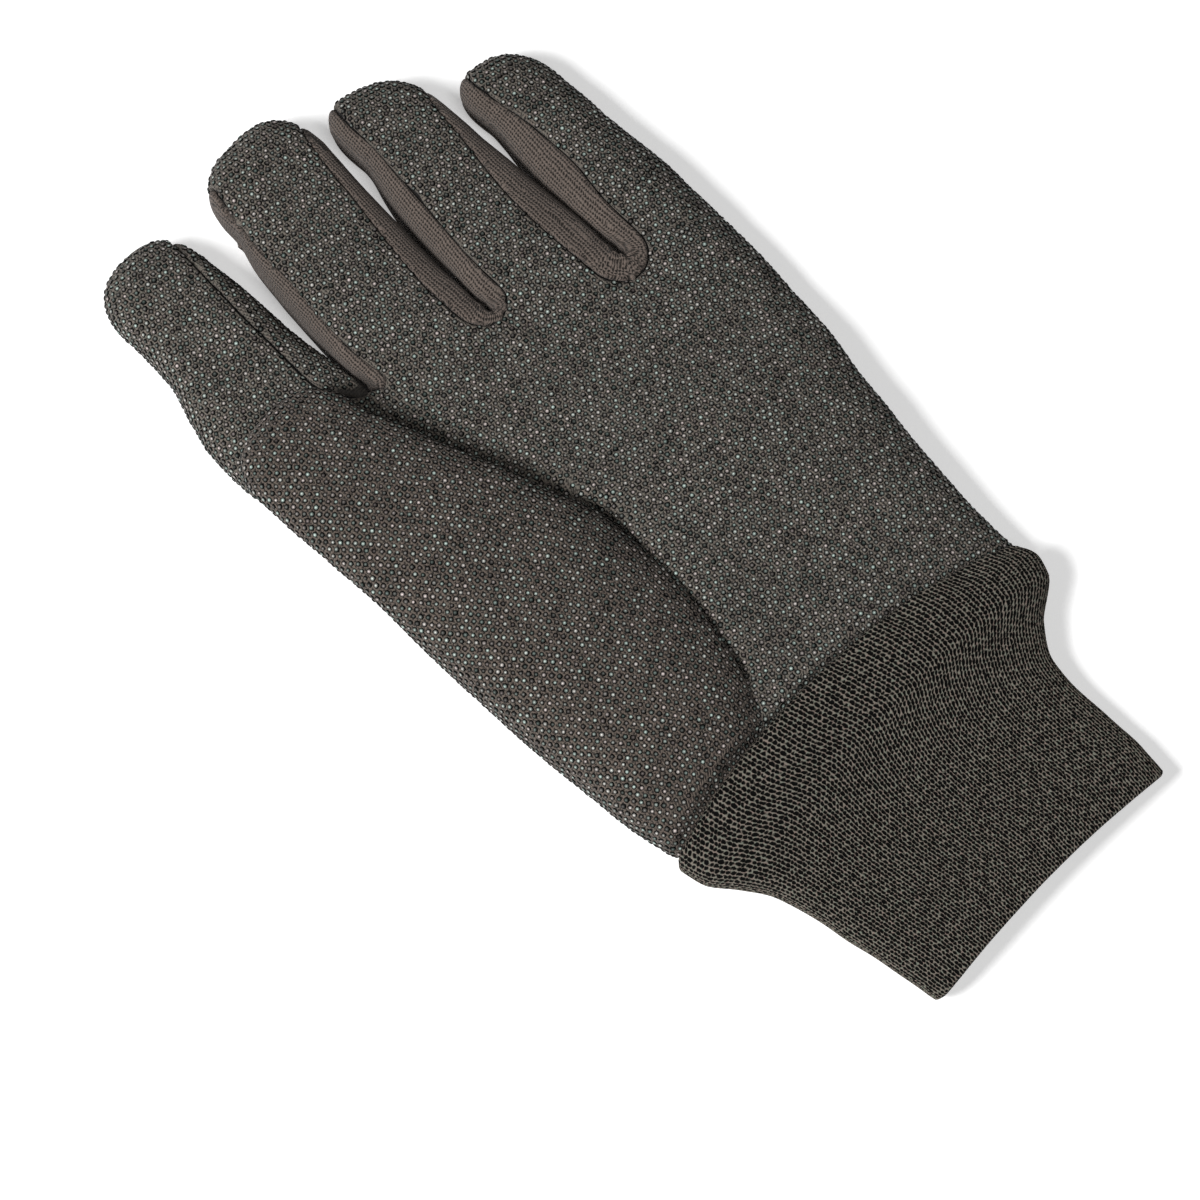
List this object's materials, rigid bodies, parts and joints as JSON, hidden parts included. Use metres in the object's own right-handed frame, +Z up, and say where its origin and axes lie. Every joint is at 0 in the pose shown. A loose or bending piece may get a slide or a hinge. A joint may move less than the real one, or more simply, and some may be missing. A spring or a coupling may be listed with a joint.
{
  "type": "dotted jersey work glove",
  "caption": "Cotton jersey work glove for the left hand, palm up, with gripping dots on palm and fingers, plain side strips and a ribbed knit cuff.",
  "frame": {"origin": "on the table, under the middle of the glove's outline", "axes": "+X towards the little finger, +Y from the cuff to the fingertips, +Z up out of the palm"},
  "size_m": [0.1302, 0.2688, 0.0319],
  "materials": {
    "dotted_jersey": "matte brown jersey closely printed with glossy dark dots",
    "plain_jersey": "matte brown jersey",
    "rib_knit": "matte dark brown rib knit"
  },
  "bodies": {
    "root": {"palm_panel": "dotted_jersey", "back_panel": "plain_jersey", "fourchette_index_middle": "plain_jersey", "fourchette_middle_ring": "plain_jersey", "fourchette_ring_little": "plain_jersey", "thumb_panel": "dotted_jersey", "knit_cuff": "rib_knit"}
  },
  "joints": []
}
